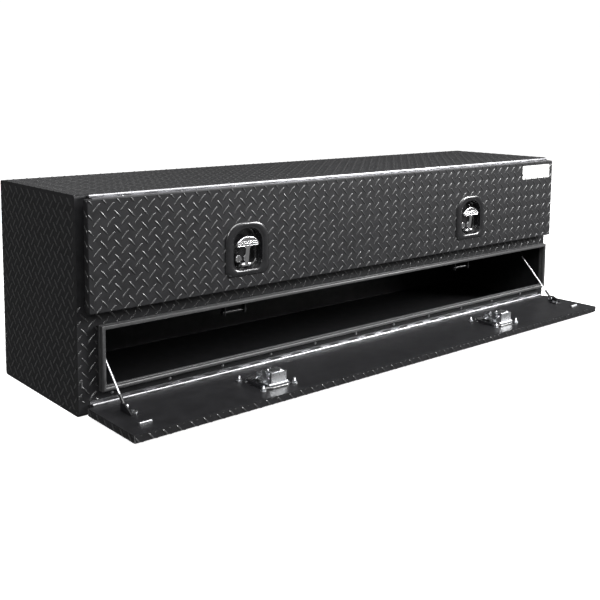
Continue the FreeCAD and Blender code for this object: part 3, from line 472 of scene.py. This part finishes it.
def mitred_bar(long, y0, y1, round_by):
    """Bar along X whose ends are cut at 45 degrees, with its outer face on the X axis."""
    bm = bmesh.new()
    rounded_section(bm, 0, TRIM_HALF, y0, y1, round_by)
    made = bmesh.ops.extrude_edge_only(bm, edges=bm.edges[:])["geom"]
    moved = [part for part in made if isinstance(part, bmesh.types.BMVert)]
    bmesh.ops.translate(bm, verts=moved, vec=(long, 0, 0))
    for x, lean in ((0, -1), (long, 1)):
        bmesh.ops.bisect_plane(bm, geom=bm.verts[:] + bm.edges[:] + bm.faces[:], plane_co=(x, 0, 0),
                               plane_no=(lean, 0, 1), clear_outer=True)
    return template_mesh(bm)


def mitred_ring(low, high, y0, y1, round_by):
    """Four bars round a rectangle across Y, welded where their ends meet."""
    bm = bmesh.new()
    wide, tall = high.x - low.x, high.z - low.z
    corners = ((low.x, low.z, 0, wide), (high.x, low.z, 90, tall), (high.x, high.z, 180, wide), (low.x, high.z, 270, tall))
    for x, z, turn, long in corners:
        place = Matrix.Translation((x, 0, z)) @ Matrix.Rotation(math.radians(-turn), 4, "Y")
        stamp(bm, mitred_bar(long, y0, y1, round_by), place)
    tidy_normals(bm, 1e-5)
    print("ring, open edges", sum(edge.is_boundary for edge in bm.edges))
    return template_mesh(bm)


# %% Rubber on both rims
def rim_trim(name, node, root_y, joint=None):
    """Clip part and bulb of one rim's trim, in place of its plain solid."""
    low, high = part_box(node)
    whole = bmesh.new()
    groove_y = root_y - CLIP_DEEP
    bulb_round = min(4 * MM, 0.45 * (groove_y - low.y))
    whole.from_mesh(mitred_ring(low, high, groove_y, root_y, 1.4 * MM))
    whole.from_mesh(mitred_ring(low, high, low.y, groove_y, bulb_round))
    piece = make_piece(name, whole, "body", "black_rubber", angle=50)
    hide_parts(node)
    if joint:
        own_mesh(piece)
    return piece


rim_trim("rim_trim_lower", "seal_lower", seal_high.y, "lower_door_hinge")
rim_trim("rim_trim_upper", "seal_upper", upper_seal_high.y)


# %% [markdown]
# ## Turned hardware
# Rivets, screws, studs and bumpers are all turned shapes. A few corners of the outline are drawn
# and spun a full turn, and spin() merges the seam. Heads that repeat are stamped from one shape.

# %% Lathe
def lathe(corners, segments=16):
    """Solid of revolution about Z from outline corners (radius, height), closed on the axis."""
    bm = bmesh.new()
    verts = [bm.verts.new((radius, 0, height)) for radius, height in corners]
    for first, second in zip(verts, verts[1:]):
        bm.edges.new((first, second))
    bmesh.ops.spin(bm, geom=bm.verts[:] + bm.edges[:], cent=(0, 0, 0), axis=(0, 0, 1),
                   angle=math.tau, steps=segments, use_merge=True, use_duplicate=False)
    tidy_normals(bm)
    return bm


def dome_outline(radius, high, steps=4):
    """Quarter arc from the foot of a domed head to its top."""
    angles = [math.radians(90) * step / steps for step in range(steps + 1)]
    return [(0, 0)] + [(radius * math.cos(angle), high * math.sin(angle)) for angle in angles]


# %% Domed rivets along the hinges
def heads_on(node, name, body, direction, radius, high):
    """A domed head on every rivet that the frame's node holds, found from its loose pieces."""
    bm = bmesh.new()
    bm.from_mesh(nodes[node].data)
    bmesh.ops.remove_doubles(bm, verts=bm.verts, dist=1e-6)
    direction = Vector(direction)
    seen, heads = set(), []
    for vert in bm.verts:
        if vert in seen:
            continue
        island, queue = [], [vert]
        seen.add(vert)
        while queue:
            here = queue.pop()
            island.append(here.co.copy())
            for edge in here.link_edges:
                other = edge.other_vert(here)
                if other not in seen:
                    seen.add(other)
                    queue.append(other)
        foot = min(island, key=lambda point: point.dot(direction)).dot(direction)
        centre = sum(island, Vector()) / len(island)
        wide = max((point - centre - direction * (point - centre).dot(direction)).length for point in island)
        heads.append((centre + direction * (foot - centre.dot(direction)), wide))
    bm.free()
    dome = template_mesh(lathe(dome_outline(1, high / radius), 14))
    whole = bmesh.new()
    for place, wide in heads:
        stamp(whole, dome, Matrix.Translation(place) @ turn_to(direction) @ Matrix.Scale(wide, 4))
    piece = make_piece(name, whole, body, "hinge_steel", angle=50)
    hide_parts(node)
    print(name, len(heads), "rivets")


heads_on("body_rivets", "rivet_heads_body", "body", (0, -1, 0), 4.5, 1.8)
heads_on("upper_door_rivets", "rivet_heads_upper_door", "upper_door", (0, 0, 1), 4.5, 1.8)
heads_on("lower_door_rivets", "rivet_heads_lower_door", "lower_door", (0, 1, 0), 4.5, 1.8)


# %% [markdown]
# ## The latch hardware
# Both doors carry the same paddle latch, but the lower ones are turned over. So every detail is
# drawn once in the latch's own directions: a across it, b towards its head, c into the box. A
# small matrix then puts it in its place, and the piece rides on the door.

# %% Each latch's own directions
def latch_frame(level, side):
    """Matrix from the latch's own directions, in metres, to the box."""
    low, high = dishes[level, side]
    centre = (low + high) / 2
    if level == "upper":
        axes, origin = ((-1, 0, 0), (0, 0, 1), (0, 1, 0)), (centre.x, upper_low.y, centre.z)
    else:
        axes, origin = ((1, 0, 0), (0, 1, 0), (0, 0, 1)), (centre.x, centre.y, lower_low.z)
    return Matrix.Translation(origin) @ Matrix([Vector(axis) for axis in axes]).transposed().to_4x4()


def bar(bm, a0, a1, b0, b1, c0, c1, round_by=0.6):
    """Block in millimetres with rounded edges."""
    made = bmesh.ops.create_cube(bm, size=1)["verts"]
    bmesh.ops.scale(bm, verts=made, vec=((a1 - a0) * MM, (b1 - b0) * MM, (c1 - c0) * MM))
    bmesh.ops.translate(bm, verts=made, vec=((a0 + a1) / 2 * MM, (b0 + b1) / 2 * MM, (c0 + c1) / 2 * MM))
    known = set(made)
    edges = [edge for edge in bm.edges if edge.verts[0] in known and edge.verts[1] in known]
    made = bmesh.ops.bevel(bm, geom=edges, offset=round_by * MM, segments=2, profile=0.5, affect="EDGES",
                           material=-1)
    return made["verts"]


def at(a, b, c):
    return Matrix.Translation((a * MM, b * MM, c * MM))


# %% Studs with threads, washers and hex nuts
STUD_OUT, NUT_FROM, STUD_APART = 33, 19, 50     # tip and door face from the outer face, half spacing


def stud_shape():
    """Threaded stud with its washer, along +Z from the door's inner face, in metres."""
    thread = [(0, 0)]
    height, pitch = 0.0, 1.25
    while height < STUD_OUT - NUT_FROM - 1.5:
        thread += [(2.55, height), (3.0, height + pitch / 2)]
        height += pitch
    thread += [(2.3, STUD_OUT - NUT_FROM), (0, STUD_OUT - NUT_FROM)]
    stud = lathe([(radius * MM, high * MM) for radius, high in thread], 14)
    washer = lathe([(0, 0), (8.0 * MM, 0), (8.0 * MM, 1.2 * MM), (0, 1.2 * MM)], 24)
    nut = bmesh.new()
    bmesh.ops.create_cone(nut, cap_ends=True, segments=6, radius1=6.3 * MM, radius2=6.3 * MM, depth=5 * MM,
                          matrix=at(0, 0, 3.6))
    bmesh.ops.bevel(nut, geom=nut.edges[:], offset=0.5 * MM, segments=2, profile=0.5, affect="EDGES", material=-1)
    for extra in (washer, nut):
        mesh = template_mesh(extra)
        stud.from_mesh(mesh)
    return template_mesh(stud)


stud_mesh = stud_shape()
for level in ("upper", "lower"):
    bm = bmesh.new()
    for side in ("left", "right"):
        place = latch_frame(level, side)
        for a in (-STUD_APART, STUD_APART):
            for b in (-STUD_APART, STUD_APART):
                spin_by = Matrix.Rotation(random.uniform(0, 1), 4, "Z")
                stamp(bm, stud_mesh, place @ at(a, b, NUT_FROM) @ spin_by)
    studs = make_piece("studs_and_nuts_" + level, bm, level + "_door", "zinc_plated_steel", angle=35)
    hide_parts(level + "_latch_studs")

# %% Screws, spring, links and bumper of each latch's works
screw_outline = [(0, 0), (3.4, 0), (3.4, 0.8), (2.6, 1.9), (1.2, 2.3), (1.0, 1.4), (0, 1.4)]
screw = template_mesh(lathe([(radius * MM, high * MM) for radius, high in screw_outline], 16))
bumper_outline = [(0, 0), (6.5, 0), (7, 1), (7, 6), (6.2, 7.5), (3, 8), (2.5, 7), (0, 7)]
bumper = template_mesh(lathe([(radius * MM, high * MM) for radius, high in bumper_outline], 20))


def coil(turns, radius, wire, long):
    """Spring along X: a wire's circle spun about X while it travels along it."""
    bm = bmesh.new()
    ring = bmesh.ops.create_circle(bm, cap_ends=True, segments=8, radius=wire * MM,
                                   matrix=Matrix.Translation((-long / 2 * MM, radius * MM, 0)) @ turn_to((0, 0, 1)))
    steps = turns * 12
    face = [part for part in bm.faces]
    bmesh.ops.spin(bm, geom=face, cent=(0, 0, 0), axis=(1, 0, 0), angle=turns * math.tau,
                   dvec=(long * MM / steps, 0, 0), steps=steps, use_duplicate=False)
    bmesh.ops.recalc_face_normals(bm, faces=bm.faces)
    return template_mesh(bm)


spring = coil(7, 3.6, 0.8, 26)


def latch_works(level, side):
    """Bright plates, links, spring and screws over the bowl, as the door's inner side shows them."""
    bm = bmesh.new()
    bar(bm, -27, 27, -10, 21, 27.6, 29.6)                     # base plate over the bowl
    for a in (-16, 13):
        bar(bm, a, a + 3, -12, 24, 29, 42)                     # side cheeks
        bar(bm, a - 2, a + 5, 18, 26, 29, 33)
    link = bar(bm, -12, 12, -14, 18, 40, 42.5)                # link from handle to claw
    bmesh.ops.rotate(bm, verts=link, cent=(0, 0, 41 * MM), matrix=Matrix.Rotation(math.radians(-14), 3, "X"))
    tab = bar(bm, 14, 25, -4, 12, 30, 41)                      # folded tab at the side
    bmesh.ops.rotate(bm, verts=tab, cent=(19 * MM, 4 * MM, 35 * MM), matrix=Matrix.Rotation(math.radians(22), 3, "Z"))
    slide = bar(bm, -30, -17, -26, 6, 30, 34)                 # slide beside the case
    bmesh.ops.rotate(bm, verts=slide, cent=(-23 * MM, -10 * MM, 32 * MM), matrix=Matrix.Rotation(math.radians(-8), 3, "Z"))
    bar(bm, -20, 20, -46, -14, 56.3, 57.6)                    # cover on the case
    for a, b, c in ((-22, 15, 29.6), (22, 16, 29.6), (-27.5, -14, 28.5), (27.5, -46, 28.5), (-27.5, -46, 28.5),
                    (-13, -20, 57.6), (13, -40, 57.6)):
        stamp(bm, screw, at(a, b, c) @ Matrix.Rotation(a, 4, "Z"))
    stamp(bm, spring, at(0, -6, 46))
    disc = lathe([(radius * MM, high * MM) for radius, high in ((0, 0), (8, 0), (8, 2), (3, 2.4), (3, 5), (0, 5))], 20)
    stamp(bm, template_mesh(disc), at(-6, 10, 42) @ Matrix.Rotation(math.radians(-14), 4, "X"))
    bm.transform(latch_frame(level, side))
    make_piece("latch_works_" + level + "_" + side, bm, level + "_door", "zinc_plated_steel", angle=35)
    rubber = bmesh.new()
    stamp(rubber, bumper, at(30, 4, 19))
    rubber.transform(latch_frame(level, side))
    make_piece("latch_bumper_" + level + "_" + side, rubber, level + "_door", "black_rubber")


for level in ("upper", "lower"):
    for side in ("left", "right"):
        latch_works(level, side)

# %% Rolled edge of each latch's dish
DISH_W, DISH_H, DISH_TOP, DISH_FOOT = 138.0, 140.0, 48.0, 19.0          # outer edge, as on the frame
MOUTH_W, MOUTH_H, MOUTH_TOP, MOUTH_FOOT = 93.0, 107.0, 41.0, 25.0       # edge of the bowl
ROLL_HIGH = 6.2                                                         # how proud the roll stands


def dish_loop(bm, share, high):
    """Loop between the dish's outer edge (share 0) and its mouth (share 1)."""
    def between(first, last):
        return (first + (last - first) * share) * MM

    made = bmesh.ops.create_grid(bm, x_segments=1, y_segments=1, size=0.5)["verts"]
    bmesh.ops.scale(bm, verts=made, vec=(between(DISH_W, MOUTH_W), between(DISH_H, MOUTH_H), 1))
    bmesh.ops.translate(bm, verts=made, vec=(0, 0, -high * MM))
    top = [vert for vert in made if vert.co.y > 0]
    foot = [vert for vert in made if vert.co.y < 0]
    before = set(bm.faces) - {face for vert in made for face in vert.link_faces}
    bmesh.ops.bevel(bm, geom=top, offset=between(DISH_TOP, MOUTH_TOP), segments=10, profile=0.5,
                    affect="VERTICES", material=-1)
    bmesh.ops.bevel(bm, geom=foot, offset=between(DISH_FOOT, MOUTH_FOOT), segments=10, profile=0.5,
                    affect="VERTICES", material=-1)
    face = (set(bm.faces) - before).pop()
    edges = list(face.edges)
    bmesh.ops.delete(bm, geom=[face], context="FACES_ONLY")
    return edges


def dish_roll(level, side):
    """Convex ring from the door's face, over the dish's flat edge, into its bowl."""
    bm = bmesh.new()
    loops = [dish_loop(bm, 0, -0.2)]
    for step in range(1, 12):
        share = step / 12
        far = (share - 0.5) / 0.5
        loops.append(dish_loop(bm, share, ROLL_HIGH * math.sqrt(max(1 - abs(far) ** 2.2, 0))))
    loops.append(dish_loop(bm, 1, -1.5))
    loops.append(dish_loop(bm, 1.02, -6))
    for here, following in zip(loops, loops[1:]):
        bmesh.ops.bridge_loops(bm, edges=here + following)
    bmesh.ops.recalc_face_normals(bm, faces=bm.faces)
    bm.transform(latch_frame(level, side))
    make_piece("dish_roll_" + level + "_" + side, bm, level + "_door", "latch_bowl_black", angle=60)


for level in ("upper", "lower"):
    for side in ("left", "right"):
        dish_roll(level, side)

# %% Raised edge and ridge on each handle
HEAD_A, HEAD_LOW, HEAD_HIGH, HEAD_C = 34.0, 6.8, 29.6, -4.0


def bead(points, radius, cyclic):
    """Round bead along points in millimetres, as a mesh."""
    curve = bpy.data.curves.new("bead", "CURVE")
    curve.dimensions = "3D"
    curve.bevel_depth = radius * MM
    curve.bevel_resolution = 2
    curve.use_fill_caps = True
    spline = curve.splines.new("POLY")
    spline.points.add(len(points) - 1)
    spline.use_cyclic_u = cyclic
    for point, place in zip(spline.points, points):
        point.co = (place[0] * MM, place[1] * MM, place[2] * MM, 1)
    holder = bpy.data.objects.new("bead", curve)
    mesh = bpy.data.meshes.new_from_object(holder)
    bpy.data.objects.remove(holder)
    return mesh


def dome_edge(steps=16):
    """Edge of the handle's head: an arc over the top and a flat foot with round corners."""
    rise = HEAD_HIGH - HEAD_LOW - 6
    radius = (HEAD_A ** 2 + rise ** 2) / (2 * rise)
    reach = math.asin(HEAD_A / radius)
    centre = HEAD_HIGH - radius
    points = []
    for step in range(steps + 1):
        turn = reach * (1 - 2 * step / steps)
        points.append((radius * math.sin(turn), centre + radius * math.cos(turn), HEAD_C))
    for a, b, first in ((-HEAD_A + 5, HEAD_LOW + 5, 180), (HEAD_A - 5, HEAD_LOW + 5, 270)):
        for step in range(5):
            turn = math.radians(first + 90 * step / 4)
            points.append((a + 5 * math.cos(turn), b + 5 * math.sin(turn), HEAD_C))
    return points


def handle_relief(level, side):
    bm = bmesh.new()
    bm.from_mesh(bead(dome_edge(), 1.3, True))
    for b, reach in ((17.5, 30), (12.5, 32)):
        bm.from_mesh(bead([(-reach, b, HEAD_C), (0, b + 0.6, HEAD_C - 0.4), (reach, b, HEAD_C)], 0.9, False))
    bm.transform(latch_frame(level, side))
    make_piece("handle_relief_" + level + "_" + side, bm, level + "_" + side + "_handle", "polished_steel", angle=60)


for level in ("upper", "lower"):
    for side in ("left", "right"):
        handle_relief(level, side)

# %% [markdown]
# ## Welds
# The doors' folded corners and the front's corner are closed with short weld runs. A bead is a
# row of overlapping flattened drops, so one drop is stamped along the seam.

# %% Weld beads
drop_bm = bmesh.new()
bmesh.ops.create_uvsphere(drop_bm, u_segments=10, v_segments=6, radius=1)
drop = template_mesh(drop_bm)


def weld(bm, start, end, wide):
    start, end = Vector(start), Vector(end)
    count = max(2, round((end - start).length / (wide * 0.55)))
    for step in range(count + 1):
        place = start.lerp(end, step / count)
        size = wide / 2 * random.uniform(0.85, 1.1)
        stretch = Matrix.Diagonal((size, size, size * 0.6, 1))
        stamp(bm, drop, Matrix.Translation(place) @ turn_to(end - start) @ stretch)


bm = bmesh.new()
for x in (lower_low.x + 1 * MM, lower_high.x - 1 * MM):
    for y in (lower_low.y + 1 * MM, lower_high.y - 1 * MM):
        weld(bm, (x, y, lower_low.z + 2 * MM), (x, y, lower_high.z - 1 * MM), 3.0 * MM)
make_piece("welds_lower_door", bm, "lower_door", "weld_bead")
bm = bmesh.new()
for side_x in (-half, half):
    inward = 1 if side_x < 0 else -1
    weld(bm, (side_x + inward * 9 * MM, front_y, 70 * MM), (side_x + inward * 9 * MM, front_y, 84 * MM), 4.0 * MM)
make_piece("welds_front", bm, "body", "weld_bead")

# %% [markdown]
# ## Floor and light
# The box stands on a plain pale floor that curves up far around it. Black powder coat shows shape
# only by what it reflects, so the lights are large and soft: one overhead, one off the right end
# for the slanted lugs, and a low one in front that lifts the doors.

# %% Floor
FLOOR_REACH, FLOOR_RISE = 16.0, 8.0
floor_line = [(0, -0.0006), (FLOOR_REACH, -0.0006)]
for step in range(1, 9):
    turn = math.radians(90 * step / 8)
    floor_line.append((FLOOR_REACH + FLOOR_RISE * math.sin(turn), FLOOR_RISE * (1 - math.cos(turn))))
floor_line.append((FLOOR_REACH + FLOOR_RISE, 2 * FLOOR_RISE))
bm = lathe(floor_line, 96)
pale = bpy.data.materials.new("studio_floor")
pale.use_nodes = True
pale.node_tree.nodes["Principled BSDF"].inputs["Base Color"].default_value = (0.93, 0.93, 0.93, 1)
pale.node_tree.nodes["Principled BSDF"].inputs["Roughness"].default_value = 0.9
pale.node_tree.nodes["Principled BSDF"].inputs["Emission Color"].default_value = (1, 1, 1, 1)
pale.node_tree.nodes["Principled BSDF"].inputs["Emission Strength"].default_value = 0.85
materials["studio_floor"] = pale
floor_mesh = bpy.data.meshes.new("studio_floor")
bm.to_mesh(floor_mesh)
bm.free()
floor_mesh.materials.append(pale)
floor_mesh.shade_smooth()
floor = bpy.data.objects.new("studio_floor", floor_mesh)
bpy.context.scene.collection.objects.link(floor)
floor.visible_glossy = False
floor.visible_diffuse = False
floor.visible_shadow = False


# %% Lights
def area_light(name, place, target, size, power):
    data = bpy.data.lights.new(name, "AREA")
    data.shape = "RECTANGLE"
    data.size, data.size_y = size
    data.energy = power
    light = bpy.data.objects.new(name, data)
    aim = (Vector(place) - Vector(target)).to_track_quat("Z", "Y").to_matrix().to_4x4()
    light.matrix_world = Matrix.Translation(place) @ aim
    bpy.context.scene.collection.objects.link(light)


area_light("overhead", (-0.2, -1.5, 2.8), (0, -0.3, 0.3), (3.2, 1.8), 130)
area_light("right_end", (3.2, -3.0, 2.2), (0.0, -0.2, 0.3), (1.6, 1.6), 360)
area_light("front_left", (-3.2, -2.6, 2.6), (-0.2, -0.3, 0.3), (1.2, 1.2), 60)
area_light("behind", (0.4, 3.6, 2.8), (0, 0.2, 0.2), (1.5, 1.5), 8)
world = bpy.data.worlds.new("studio")
world.use_nodes = True
world.node_tree.nodes["Background"].inputs["Color"].default_value = (1, 1, 1, 1)
world.node_tree.nodes["Background"].inputs["Strength"].default_value = 0.18
bpy.context.scene.view_settings.view_transform = "Standard"
bpy.context.scene.world = world
